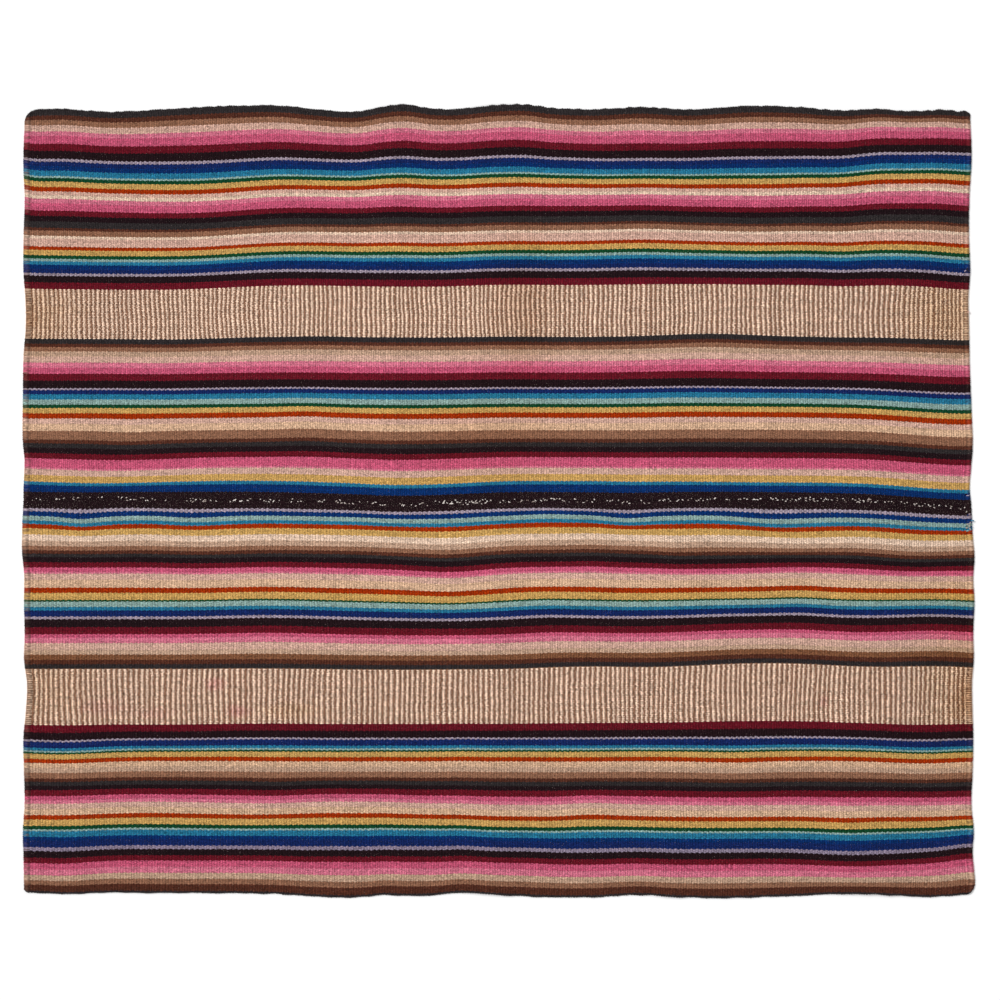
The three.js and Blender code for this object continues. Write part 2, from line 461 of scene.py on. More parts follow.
def lay_picks(panel):
    """Lines of points along a panel, counted in picks and in millimetres, and the height of each pick."""
    dice = np.random.default_rng(SEED + panel.side)
    size = 1 + PICK_UNEVEN * dice.standard_normal(panel.picks).clip(-2, 2)
    size *= 1 + panel.widening * np.linspace(-1, 1, panel.picks)
    size[[0, -1]] = 0
    size *= (2 * HALF_LENGTH - 2 * CORD_WIDTH) / size.sum()
    size[[0, -1]] = CORD_WIDTH
    edges = np.concatenate([[0], np.cumsum(size)]) - HALF_LENGTH
    height = (1 + RIB_UNEVEN * dice.standard_normal(panel.picks)).clip(0.5, 1.5)
    first = np.array(END_LINES)
    lines = np.concatenate([first, np.arange(1, panel.picks - 0.75, 0.5), panel.picks - first[::-1]])
    return Picks(lines, np.interp(lines, np.arange(panel.picks + 1), edges), height)


inner = np.linspace(ROW_LINES[-1], PANEL_WIDTH - ROW_LINES[-1], round(PANEL_WIDTH / ROW_PITCH))
near = np.array(ROW_LINES[:-1])
row_places = np.concatenate([near, inner, PANEL_WIDTH - near[::-1]])
print({panel.name: len(lay_picks(panel).lines) for panel in PANELS}, "lines by", len(row_places), "rows")

# %% [markdown]
# Two small helpers shape the plan. One draws a square corner in to a round one. The other gives slow, uneven
# waves from a few sines in seeded directions, for the lean of the picks and the lumps of the yarn.

# %% Round the corners and make slow waves


def round_corner(from_end, from_edge, radius):
    """Draws the square's far corner in to the middle of an arc."""
    a = np.clip(1 - from_end / radius, 0, 1)
    b = np.clip(1 - from_edge / radius, 0, 1)
    drawn_in = (a > 0) & (b > 0)
    round_end = radius * (1 - a * np.sqrt(1 - b**2 / 2))
    round_edge = radius * (1 - b * np.sqrt(1 - a**2 / 2))
    return np.where(drawn_in, round_end, from_end), np.where(drawn_in, round_edge, from_edge)


def slow_waves(x, y, long, wide, seed, count=8):
    """Uneven waves between about -1 and 1, of this usual length and width in millimetres."""
    roll = np.random.default_rng(seed)
    total = np.zeros(np.broadcast(x, y).shape)
    for _ in range(count):
        turn_x, turn_y, start = roll.normal(0, 1), roll.normal(0, 1), roll.uniform(0, 2 * math.pi)
        total += np.sin(2 * math.pi * (turn_x * x / long + turn_y * y / wide) + start)
    return total / count**0.5


print("corners:", {panel.name: (panel.left_round, panel.right_round) for panel in PANELS}, "mm")

# %% [markdown]
# The plan starts from an even cloth. Its ends are stretched to where the tables put them, its long edges and
# its seam are bent, its outer corners are rounded, and the pulls carry the stripes along. Last, the picks
# lean a little to and fro.

# %% Work out a panel's plan
LEAN = 1.6
LEAN_LONG, LEAN_WIDE = 400, 240
LOOP_REACH = 0.9
HALF_WIDTH = 661
EDGE_SPREAD = 120
SEAM_SPREAD = 150


def panel_plan(panel, even, across):
    """Plan of a panel in millimetres, for places along an even cloth and shares from seam to outer edge."""
    even, across = np.broadcast_arrays(even, across)
    left = panel.left(across * PANEL_WIDTH) + LOOP_REACH
    right = panel.right(across * PANEL_WIDTH) - LOOP_REACH
    reach = np.where(even > 0, right - HALF_LENGTH, left + HALF_LENGTH)
    x = even + reach * np.clip(1 - (HALF_LENGTH - np.abs(even)) / END_FADE, 0, 1)
    edge, straight = panel.edge(x), panel.side * HALF_WIDTH
    edge_part = (edge - straight) * np.exp(-(1 - across) * PANEL_WIDTH / EDGE_SPREAD)
    seam_part = (seam_line(x) + panel.side * SEAM_GAP / 2) * np.exp(-across * PANEL_WIDTH / SEAM_SPREAD)
    y = straight * across + edge_part + seam_part
    from_end = np.where(even > 0, right - x, x - left)
    radius = np.where(even > 0, panel.right_round, panel.left_round)
    round_end, round_edge = round_corner(from_end, np.abs(edge - y), radius)
    x = np.where(even > 0, right - round_end, left + round_end)
    y = edge - panel.side * round_edge
    y = y + stripe_sway(x, y, PANEL_WIDTH * np.minimum(across, 1 - across))
    lean = LEAN * slow_waves(x, y, LEAN_LONG, LEAN_WIDE, SEED + panel.side)
    return x + lean * np.clip(from_end / END_FADE, 0, 1), y, from_end


# %% [markdown]
# The height of the cloth comes next. The face stands on the folds with a rib for each pick, the cord inside
# each end swells it a little, and all four edges are rolled round. Along the outer edges the weft turns back
# at every pick, which leaves small, uneven teeth. The back has the same ribs, only lower, because it lies on
# the floor.

# %% Work out a panel's face and back
RIB_HEIGHT = 0.6
BACK_RIB = 0.3
LUMPS = 0.15
LUMP_LONG, LUMP_WIDE = 90, 60
TEETH = 1.2
RAGGED = 0.6
RAGGED_LONG = 30
TEETH_DEPTH = 2.5
EDGE_ROLL = 1.6
ROLL_LEAST = 0.3


def rolled(distance):
    """Share of the cloth's thickness that is left this near a rolled edge."""
    share = np.clip(distance / EDGE_ROLL, 0, 1)
    return np.maximum(ROLL_LEAST, np.sqrt(1 - (1 - share) ** 2))


def panel_points(panel, picks):
    """Face and back of a panel in millimetres, as arrays of rows by pick lines."""
    across = (row_places / PANEL_WIDTH)[:, None]
    x, y, from_end = panel_plan(panel, picks.x[None, :], across)
    pick = np.minimum(picks.lines.astype(int), panel.picks - 1)
    rib = np.sin(math.pi * (picks.lines - pick)) ** 2 * picks.height[pick]
    rib[(pick == 0) | (pick == panel.picks - 1)] = 1
    from_outer = PANEL_WIDTH * (1 - across)
    ragged = TEETH * (rib - 1) + RAGGED * slow_waves(x, 0, RAGGED_LONG, 1, SEED + 3 * panel.side)
    y = y + panel.side * ragged * np.exp(-from_outer / TEETH_DEPTH)
    lift = fold_lift(x, y)
    cord = CORD_SWELL * np.sin(math.pi * np.clip(from_end / CORD_WIDTH, 0, 1))
    lumps = LUMPS * slow_waves(x, y, LUMP_LONG, LUMP_WIDE, SEED + 5 * panel.side)
    face = lift + CLOTH_THICKNESS + RIB_HEIGHT * (rib - 1) + cord + lumps
    back = lift + BACK_RIB * np.clip(1 - rib, 0, 1)
    left = rolled(np.minimum(from_outer, PANEL_WIDTH * across)) * rolled(from_end)
    middle, half = (face + back) / 2, (face - back) / 2 * left
    return np.stack([x, y, middle + half], -1), np.stack([x, y, middle - half], -1)


# %% [markdown]
# Arrays of points become a mesh. The faces are a grid for the face, the same grid turned over for the back,
# and a band round the rim. A map named weave counts picks one way and warps the other, so that a material
# can ask which yarn lies on top at any place. On the back the picks are counted from the other end, which
# brings the other half of the warps on top there, as on the real cloth.

# %% Turn the points into a mesh


def grid_faces(rows, lines, start=0):
    """Corner numbers of a grid's four-sided faces."""
    corner = start + np.arange(rows * lines).reshape(rows, lines)
    return np.stack([corner[:-1, :-1], corner[:-1, 1:], corner[1:, 1:], corner[1:, :-1]], -1).reshape(-1, 4)


def panel_mesh(panel):
    """The closed mesh of one panel, in metres, with its weave map."""
    picks = lay_picks(panel)
    face, back = panel_points(panel, picks)
    rows, lines = face.shape[:2]
    size = rows * lines
    upward = grid_faces(rows, lines) if panel.side > 0 else grid_faces(rows, lines)[:, ::-1]
    corner = np.arange(size).reshape(rows, lines)
    rim = np.concatenate([corner[0, :-1], corner[:-1, -1], corner[-1, :0:-1], corner[:0:-1, 0]])
    rim = rim if panel.side > 0 else rim[::-1]
    band = np.stack([rim, rim + size, np.roll(rim, -1) + size, np.roll(rim, -1)], -1)
    faces = np.concatenate([upward, upward[:, ::-1] + size, band])
    mesh = bpy.data.meshes.new(f"{panel.name}_panel_cloth")
    points = np.concatenate([face.reshape(-1, 3), back.reshape(-1, 3)]) * MM
    mesh.from_pydata(points.tolist(), [], faces.tolist())
    mesh.polygons.foreach_set("use_smooth", np.ones(len(faces), bool))
    warps = warp_total[panel.name]
    from_seam = row_places / PANEL_WIDTH
    warp = warps * (1 - from_seam if panel.side > 0 else from_seam)
    weave = np.stack(np.broadcast_arrays(picks.lines[None, :], warp[:, None]), -1).reshape(-1, 2)
    weave = np.concatenate([weave, weave * (-1, 1) + (panel.picks, 0)])
    layer = mesh.uv_layers.new(name="weave")
    corners_used = np.empty(len(mesh.loops), np.int32)
    mesh.loops.foreach_get("vertex_index", corners_used)
    layer.data.foreach_set("uv", weave[corners_used].astype(np.float32).ravel())
    mesh.update()
    return mesh


# %% [markdown]
# ## Which yarn is on top
# The cloth is a warp-faced plain weave: each warp goes over one pick and under the next, and its neighbour
# does the opposite. Only the floats show, as small beads in a staggered lattice. This group of nodes finds
# the nearest bead of the even and of the odd warps, keeps the nearer, and gives its warp number and its
# rounded height. Scalloped stripes and ribbed bands then come about by themselves. In the stripes the beads
# lie close and run into each other. In the ribbed bands and the dotted lavender lines they stand apart. Over
# the cord in each end nothing is woven, and all the warps lie side by side.

# %% Build the bead group
STRIPE_BEAD = (0.98, 0.86)
DOT_BEAD = (0.82, 0.88)
RIB_BEAD = (0.74, 1.08)
LOOP_ROUND = (0, 1.9, 0)


def add(tree, kind, **settings):
    """A new node with these settings."""
    made = tree.nodes.new(kind)
    for name, value in settings.items():
        setattr(made, name, value)
    return made


def feed(tree, socket, value):
    """Gives an input a value, or links it to another node's output."""
    if isinstance(value, bpy.types.NodeSocket):
        tree.links.new(value, socket)
    else:
        socket.default_value = value


def maths(tree, operation, *values):
    """The output of a Math node."""
    made = add(tree, "ShaderNodeMath", operation=operation)
    for socket, value in zip(made.inputs, values):
        feed(tree, socket, value)
    return made.outputs[0]


def vectors(tree, operation, *values):
    """The output of a Vector Math node."""
    made = add(tree, "ShaderNodeVectorMath", operation=operation)
    for socket, value in zip(made.inputs, values):
        feed(tree, socket, value)
    return made.outputs["Value" if operation == "DOT_PRODUCT" else "Vector"]


def mix(tree, kind, share, first, second, blend="MIX"):
    """The output of a Mix node for colours (RGBA), vectors (VECTOR) or numbers (FLOAT)."""
    made = add(tree, "ShaderNodeMix", data_type=kind)
    if kind == "RGBA":
        made.blend_type = blend
    live = [socket for socket in made.inputs if socket.enabled]
    for socket, value in zip(live, (share, first, second)):
        feed(tree, socket, value)
    return next(socket for socket in made.outputs if socket.enabled)


def new_tree(name, kind, inputs, outputs):
    """A node tree with these sockets, and its inside input and output nodes."""
    tree = bpy.data.node_groups.new(name, kind)
    for way, sockets in (("INPUT", inputs), ("OUTPUT", outputs)):
        for label, holds in sockets:
            tree.interface.new_socket(label, in_out=way, socket_type=f"NodeSocket{holds}")
    return tree, add(tree, "NodeGroupInput"), add(tree, "NodeGroupOutput")


def build_bead_group():
    """Finds the float on top at a place of the weave map."""
    tree, given, result = new_tree(
        "float_on_top", "ShaderNodeTree",
        [("Weave", "Vector"), ("Bead Size", "Vector"), ("Woven", "Float")],
        [("Warp", "Float"), ("Dome", "Float"), ("Bead", "Vector")],
    )
    weave, size, inside = (given.outputs[name] for name in ("Weave", "Bead Size", "Woven"))
    found = []
    for back, forth in ((0.5, 0.5), (-0.5, 1.5)):
        shifted = vectors(tree, "ADD", weave, (back, back, 0))
        middle = vectors(tree, "ADD", vectors(tree, "SNAP", shifted, (2, 2, 1)), (forth, forth, 0))
        away = vectors(tree, "DIVIDE", vectors(tree, "SUBTRACT", weave, middle), size)
        found.append((middle, vectors(tree, "DOT_PRODUCT", away, away)))
    (even, even_away), (odd, odd_away) = found
    is_odd = maths(tree, "LESS_THAN", odd_away, even_away)
    woven = mix(tree, "VECTOR", is_odd, even, odd)

    looped = vectors(tree, "ADD", vectors(tree, "FLOOR", weave), (0.5, 0.5, 0))
    from_middle = vectors(tree, "MULTIPLY", vectors(tree, "SUBTRACT", weave, looped), LOOP_ROUND)
    looped_away = vectors(tree, "DOT_PRODUCT", from_middle, from_middle)
    middle = mix(tree, "VECTOR", inside, looped, woven)
    away = mix(tree, "FLOAT", inside, looped_away, maths(tree, "MINIMUM", odd_away, even_away))

    number = add(tree, "ShaderNodeSeparateXYZ")
    feed(tree, number.inputs[0], middle)
    dome = maths(tree, "SQRT", maths(tree, "MAXIMUM", maths(tree, "SUBTRACT", 1.0, away), 0.0))
    feed(tree, result.inputs["Warp"], maths(tree, "FLOOR", number.outputs["Y"]))
    feed(tree, result.inputs["Dome"], dome)
    feed(tree, result.inputs["Bead"], middle)
    return tree


bead_group = build_bead_group()
print("bead group:", len(bead_group.nodes), "nodes")

# %% [markdown]
# ## The dyed yarns
# The colours are those of the yarns, written as a screen shows them. A colour ramp with hard steps turns a
# warp's number into its yarn. A ramp is read at 256 places only, too few for a whole chart, so the chart is
# cut into short ramps that take over from each other. In a ribbed band every second warp is the dark one.

# %% Build the stripes of each panel
YARNS = {
    "charcoal": (48, 43, 44),
    "dark_brown": (88, 47, 34),
    "umber": (131, 85, 58),
    "brown": (149, 104, 80),
    "fawn": (199, 163, 138),
    "beige": (224, 183, 150),
    "rose": (218, 175, 157),
    "cream": (239, 207, 182),
    "light_pink": (220, 119, 143),
    "pink": (206, 89, 121),
    "maroon": (105, 18, 33),
    "black": (33, 17, 22),
    "lavender": (166, 151, 166),
    "mauve": (144, 130, 151),
    "navy": (19, 39, 96),
    "deep_blue": (5, 47, 106),
    "sky": (38, 120, 154),
    "aqua": (142, 172, 166),
    "green": (12, 70, 40),
    "gold": (208, 164, 94),
    "rust": (167, 49, 0),
    "ribs": (240, 206, 181),
    "ash": (172, 161, 152),
}
RIB_DARK = (135, 97, 76)
RAMP_STEPS = 10


def linear(colour):
    """A screen colour of 0 to 255 as light, with alpha."""
    shares = [value / 255 for value in colour]
    return [s / 12.92 if s <= 0.04045 else ((s + 0.055) / 1.055) ** 2.4 for s in shares] + [1.0]


def stripe_ramp(tree, warp, stripes):
    """The yarn of a warp that lies in this run of stripes."""
    start = stripes[0].first
    length = stripes[-1].first + stripes[-1].count - start
    place = maths(tree, "DIVIDE", maths(tree, "SUBTRACT", warp, start - 0.5), length)
    ramp = add(tree, "ShaderNodeValToRGB")
    feed(tree, ramp.inputs[0], place)
    steps = ramp.color_ramp
    steps.interpolation = "CONSTANT"
    steps.elements.remove(steps.elements[1])
    for number, stripe in enumerate(stripes):
        step = steps.elements[0] if number == 0 else steps.elements.new((stripe.first - start) / length)
        step.color = linear(YARNS[stripe.yarn])
    return ramp.outputs["Color"]


def build_stripe_group(name, chart):
    """Turns the number of a warp into the colour of its yarn."""
    tree, given, result = new_tree(
        f"{name}_stripes", "ShaderNodeTree", [("Warp", "Float")], [("Color", "Color")]
    )
    warp = given.outputs["Warp"]
    colour = None
    for start in range(0, len(chart), RAMP_STEPS):
        run = chart[start:start + RAMP_STEPS]
        yarn = stripe_ramp(tree, warp, run)
        reached = maths(tree, "GREATER_THAN", warp, run[0].first - 0.5)
        colour = yarn if colour is None else mix(tree, "RGBA", reached, colour, yarn)
    band = next(stripe for stripe in chart if stripe.yarn == "ribs")
    inside = maths(tree, "COMPARE", warp, band.first + (band.count - 1) / 2, band.count / 2)
    every_other = maths(tree, "MODULO", warp, 2.0)
    dark = maths(tree, "MULTIPLY", inside, every_other)
    feed(tree, result.inputs["Color"], mix(tree, "RGBA", dark, colour, linear(RIB_DARK)))
    return tree


stripe_groups = {name: build_stripe_group(name, chart) for name, chart in charts.items()}
print("stripes:", {name: len(chart) for name, chart in charts.items()})

# %% [markdown]
# ## The wool
# Hand-spun, hand-dyed yarn is never even, so its material is a pattern of many small accidents. These helpers
# make the nodes for it: smooth noise, random numbers that stay with their place, numbers held between two
# limits, and a test for the stripes of some yarns.

# %% Write helpers for the wool


def group_node(tree, group, **inputs):
    """A group inside another tree, with its inputs fed by name."""
    made = add(tree, "ShaderNodeGroup", node_tree=group)
    for name, value in inputs.items():
        feed(tree, made.inputs[name], value)
    return made


def centred_noise(tree, place, scale, detail=2.0):
    """Smooth noise round zero, as a vector."""
    noise = add(tree, "ShaderNodeTexNoise", noise_dimensions="2D")
    feed(tree, noise.inputs["Vector"], place)
    noise.inputs["Scale"].default_value = scale
    noise.inputs["Detail"].default_value = detail
    return vectors(tree, "SUBTRACT", noise.outputs["Color"], (0.5, 0.5, 0.5))


def parts(tree, vector):
    """The first two numbers of a vector."""
    split = add(tree, "ShaderNodeSeparateXYZ")
    feed(tree, split.inputs[0], vector)
    return split.outputs["X"], split.outputs["Y"]


def random_of(tree, place, dimensions):
    """A random number from 0 to 1 that is fixed for each place."""
    noise = add(tree, "ShaderNodeTexWhiteNoise", noise_dimensions=dimensions)
    feed(tree, noise.inputs["W" if dimensions == "1D" else "Vector"], place)
    return noise.outputs["Value"]


def between(tree, value, low, high, low_share, high_share):
    """A number that runs from one share to another between two limits, and holds beyond them."""
    made = add(tree, "ShaderNodeMapRange", clamp=True)
    for socket, limit in zip(made.inputs, (value, low, high, low_share, high_share)):
        feed(tree, socket, limit)
    return made.outputs["Result"]


def within(tree, across, panel, yarns, margin):
    """One inside the stripes of these yarns and a margin of warps beside them, zero elsewhere."""
    found = 0.0
    for stripe in charts[panel.name]:
        if stripe.yarn in yarns:
            half = stripe.count / 2
            inside = maths(tree, "COMPARE", across, stripe.first + half, half + margin)
            found = maths(tree, "MAXIMUM", inside, found)
    return found


# %% [markdown]
# ## Stains and painted fold shade
# A blanket in use gathers marks. Dye has run into the pale ribs, the cloth has yellowed towards its ends, and
# the end cords are soiled. Two more marks are painted shade over the middle fold. Each row is one mark, with
# its middle, its reach along and across the stripes, its strength and its tint. A tint that is multiplied in
# lets the weave show, and noise frays its rim.

# %% Place the stains
TintPatch = namedtuple("TintPatch", "x y along across share tint")
# The soil tint also paints the shade over the middle fold.
STAIN_AND_SHADE_TINTS = {"dye": (250, 226, 236), "straw": (246, 239, 222), "soil_and_fold_shade": (226, 211, 196)}
STAINS_AND_FOLD_SHADE = [
    TintPatch(-476, -307, 22, 14, 1.0, "dye"),
    TintPatch(-437, -353, 26, 14, 1.0, "dye"),
    TintPatch(-661, -347, 60, 20, 0.5, "dye"),
    TintPatch(-577, -357, 45, 14, 0.5, "dye"),
    TintPatch(-350, -352, 70, 18, 0.6, "straw"),
    TintPatch(545, -337, 11, 14, 0.7, "dye"),
    TintPatch(-790, -310, 130, 90, 0.5, "straw"),
    TintPatch(790, -300, 110, 220, 0.7, "straw"),
    TintPatch(797, -330, 45, 70, 1.0, "soil_and_fold_shade"),
    TintPatch(-790, 310, 110, 80, 0.7, "straw"),
    TintPatch(-798, 310, 26, 50, 1.0, "soil_and_fold_shade"),
    TintPatch(770, 312, 130, 80, 0.9, "straw"),
    # The next two rows are painted shade over the middle fold, made with the soil tint.
    TintPatch(40, 330, 75, 170, 0.5, "soil_and_fold_shade"),
    TintPatch(-20, 120, 170, 140, 0.3, "soil_and_fold_shade"),
]
FRAY = (0.9, 0.9, 0)
FRAY_SCALE = 70.0
PATCH_CORE = 0.3
ANY_HEIGHT = 1000


def stained_and_fold_shaded(tree, panel, colour):
    """Tints the cloth where dye has run, where it has yellowed and where it is soiled, and paints shade over
    the middle fold.
    """
    place = add(tree, "ShaderNodeTexCoord").outputs["Object"]
    fray = vectors(tree, "MULTIPLY", centred_noise(tree, place, FRAY_SCALE), FRAY)
    for tint_patch in STAINS_AND_FOLD_SHADE:
        if tint_patch.y * panel.side < 0:
            continue
        away = vectors(tree, "SUBTRACT", place, (tint_patch.x * MM, tint_patch.y * MM, 0))
        away = vectors(tree, "DIVIDE", away, (tint_patch.along * MM, tint_patch.across * MM, ANY_HEIGHT))
        away = vectors(tree, "ADD", away, fray)
        far = maths(tree, "SQRT", vectors(tree, "DOT_PRODUCT", away, away))
        share = between(tree, far, PATCH_CORE, 1.0, tint_patch.share, 0.0)
        colour = mix(tree, "RGBA", share, colour, linear(STAIN_AND_SHADE_TINTS[tint_patch.tint]), "MULTIPLY")
    return colour


print(len(STAINS_AND_FOLD_SHADE), "stains")

# %% [markdown]
# ## Worn ends and painted groove shade
# Over the end cords the colours have dulled in streaks, more so at the left end. Where the weaving starts
# beside the cord, shade is painted into a groove. Both are counted in picks from the end, so they follow the
# cloth.

# %% Wear the ends
WORN_COLOUR = (118, 96, 84)
WORN_LEFT, WORN_RIGHT = 0.75, 0.25
WORN_FULL, WORN_NONE = 0.7, 1.2
STREAK_STRETCH = (0.8, 0.45, 0)
STREAK_FROM, STREAK_TO = -0.15, 0.2
DARK_YARN, PALE_YARN = 0.01, 0.1
DARK_WEAR = 0.2
# Strength of the painted shade in the groove beside the cord.
END_GROOVE_SHADE = 0.45
GROOVE_CORE, GROOVE_RIM = 0.05, 0.3


def worn_ends_and_groove_shade(tree, panel, weave, colour):
    """Dulls the cloth over the end cords and paints shade into the groove beside them."""
    pick = parts(tree, weave)[0]
    is_left = maths(tree, "LESS_THAN", pick, panel.picks / 2)
    from_end = maths(tree, "MINIMUM", pick, maths(tree, "SUBTRACT", float(panel.picks), pick))
    streak_place = vectors(tree, "MULTIPLY", weave, STREAK_STRETCH)
    streak = parts(tree, centred_noise(tree, streak_place, 1.0, 3.0))[0]
    streak = between(tree, streak, STREAK_FROM, STREAK_TO, 0.0, 1.0)
    wear = mix(tree, "FLOAT", is_left, WORN_RIGHT, WORN_LEFT)
    wear = maths(tree, "MULTIPLY", wear, streak)
    wear = maths(tree, "MULTIPLY", wear, between(tree, from_end, WORN_FULL, WORN_NONE, 1.0, 0.0))
    light = add(tree, "ShaderNodeRGBToBW")
    feed(tree, light.inputs[0], colour)
    shows = between(tree, light.outputs[0], DARK_YARN, PALE_YARN, DARK_WEAR, 1.0)
    wear = maths(tree, "MULTIPLY", wear, shows)
    dulled = mix(tree, "RGBA", wear, colour, linear(WORN_COLOUR))
    # Painted shade in the groove where the weaving starts beside the cord.
    groove_shade = maths(tree, "ABSOLUTE", maths(tree, "SUBTRACT", from_end, 1.0))
    groove_shade = between(tree, groove_shade, GROOVE_CORE, GROOVE_RIM, END_GROOVE_SHADE, 0.0)
    groove_shade = maths(tree, "SUBTRACT", 1.0, maths(tree, "MULTIPLY", groove_shade, streak))
    return vectors(tree, "MULTIPLY", dulled, groove_shade)


# %% [markdown]
# ## Beads of yarn
# The bead group is now asked at every place of the cloth. Every yarn wobbles a little and each warp slides
# along its beads, so that no line looks ruled. Beside the end cords the weaving starts unevenly, a few warps
# at a time.

# %% Ask which bead is on top
YARN_WOBBLE = (0.7, 0.7, 0)
WOBBLE_SCALE = 0.7
WARP_SLIDE = 0.45
SLIDE_STRETCH = (0.2, 1, 0)
DOT_MARGIN = 0.6
END_RAGGED = 0.8
END_BUNDLE = 3.0
Bead = namedtuple("Bead", "warp middle dome")


def bead_on_top(tree, panel, place, in_band):
    """The bead that shows at each place of the weave."""
    pick, across = parts(tree, place)
    dotted = within(tree, across, panel, ("lavender", "mauve"), DOT_MARGIN)
    ragged = random_of(tree, maths(tree, "FLOOR", maths(tree, "DIVIDE", across, END_BUNDLE)), "1D")
    ragged = maths(tree, "MULTIPLY_ADD", ragged, END_RAGGED, pick)
    woven = maths(tree, "COMPARE", ragged, (panel.picks + END_RAGGED) / 2, panel.picks / 2 - 1)
    slide = random_of(tree, vectors(tree, "FLOOR", vectors(tree, "MULTIPLY", place, SLIDE_STRETCH)), "2D")
    slide = maths(tree, "MULTIPLY_ADD", slide, WARP_SLIDE, -WARP_SLIDE / 2)
    slid = vectors(tree, "ADD", place, vectors(tree, "MULTIPLY", slide, (1, 0, 0)))
    bead = group_node(tree, bead_group, Weave=slid, Woven=woven)
    size = mix(tree, "VECTOR", dotted, (*STRIPE_BEAD, 1), (*DOT_BEAD, 1))
    feed(tree, bead.inputs["Bead Size"], mix(tree, "VECTOR", in_band, size, (*RIB_BEAD, 1)))
    return Bead(*(bead.outputs[name] for name in ("Warp", "Bead", "Dome")))


# %% [markdown]
# ## Shade, lint and bump
# Each bead is a little lighter or darker than the next, each warp has its own shade that drifts along its
# length, and the grooves between beads and between picks lie in shadow. Pale fibres catch in the pile, most
# of all beside the seam. The beads and the fibres raise the surface as bump, because there are too many of
# them for geometry.

# %% Shade the yarn
BASE_SHADE = 0.98
BEAD_SHADE = 0.24
WARP_SHADE = 0.14
PICK_SHADE = 0.08
STRIPE_PLY, RIB_PLY = 0.60, 0.62
PLY_STRETCH = (2, 1, 0)
DRIFT_SHADE = 0.34
DRIFT_STRETCH = (0.04, 0.9, 0)
FIBRE_SHADE = 0.5
GROOVE_SHADE = 0.40
RIB_SHADE = 0.30


def yarn_shade(tree, place, bead, fibre, crest, in_band):
    """How light the yarn is at each place, with one for its plain colour."""
    pick = maths(tree, "FLOOR", parts(tree, place)[0])
    ply = random_of(tree, vectors(tree, "FLOOR", vectors(tree, "MULTIPLY", place, PLY_STRETCH)), "2D")
    drift = parts(tree, centred_noise(tree, vectors(tree, "MULTIPLY", bead.middle, DRIFT_STRETCH), 1.0))[0]
    ply_shade = mix(tree, "FLOAT", in_band, STRIPE_PLY, RIB_PLY)
    shade = maths(tree, "MULTIPLY_ADD", maths(tree, "SUBTRACT", ply, 0.5), ply_shade, BASE_SHADE)
    shade = maths(tree, "SUBTRACT", shade, (BEAD_SHADE + WARP_SHADE + PICK_SHADE) / 2)
    for unevenness, share in (
        (random_of(tree, bead.middle, "2D"), BEAD_SHADE),
        (random_of(tree, bead.warp, "1D"), WARP_SHADE),
        (random_of(tree, pick, "1D"), PICK_SHADE),
        (drift, DRIFT_SHADE),
        (fibre, FIBRE_SHADE),
    ):
        shade = maths(tree, "MULTIPLY_ADD", unevenness, share, shade)
    for height, share in ((bead.dome, GROOVE_SHADE), (crest, RIB_SHADE)):
        shade = maths(tree, "MULTIPLY", shade, maths(tree, "MULTIPLY_ADD", height, share, 1 - share))
    return shade


# %% Catch lint in the pile and raise the bump
LINT_COLOUR = (186, 170, 160)
LINT_SHARE = 0.55
LINT_FROM, LINT_TO = 0.28, 0.32
LINT_SHIFT = (70, 30, 0)
SEAM_LINT = 0.052
SEAM_WARPS = 10.0
STRIPE_BUMP, RIB_BUMP = 0.85, 0.5
BEAD_BUMP = 0.35
FIBRE_BUMP = 0.35


def linted(tree, panel, across, fibre_place, colour):
    """Pale fibres over a colour, most of them beside the seam."""
    lint = parts(tree, centred_noise(tree, vectors(tree, "ADD", fibre_place, LINT_SHIFT), 2.0, 1.0))[0]
    seam_warp = float(warp_total[panel.name]) if panel.side > 0 else 0.0
    near_seam = maths(tree, "COMPARE", across, seam_warp, SEAM_WARPS)
    lint = maths(tree, "MULTIPLY_ADD", near_seam, SEAM_LINT, lint)
    pale = between(tree, lint, LINT_FROM, LINT_TO, 0.0, LINT_SHARE)
    return mix(tree, "RGBA", pale, colour, linear(LINT_COLOUR))


def wool_bump(tree, bead, fibre, crest, in_band):
    """The bump of the ribs, the beads and the fibres."""
    height = maths(tree, "MULTIPLY", crest, mix(tree, "FLOAT", in_band, STRIPE_BUMP, RIB_BUMP))
    height = maths(tree, "MULTIPLY_ADD", bead.dome, BEAD_BUMP, height)
    height = maths(tree, "MULTIPLY_ADD", fibre, FIBRE_BUMP, height)
    bump = add(tree, "ShaderNodeBump")
    bump.inputs["Strength"].default_value = 1.0
    bump.inputs["Distance"].default_value = MM
    feed(tree, bump.inputs["Height"], height)
    return bump.outputs["Normal"]


# %% [markdown]
# The wool of a panel puts these together. It reads the weave map alone for its threads, so the pattern bends
# with the cloth, and the object's own coordinates for the stains and the painted fold shade, which stay in
# place.

# %% Make the wool of a panel
WOOL_ROUGHNESS = 0.93
WOOL_SPECULAR = 0.08
FIBRE_STRETCH = (1.25, 0.6, 0)


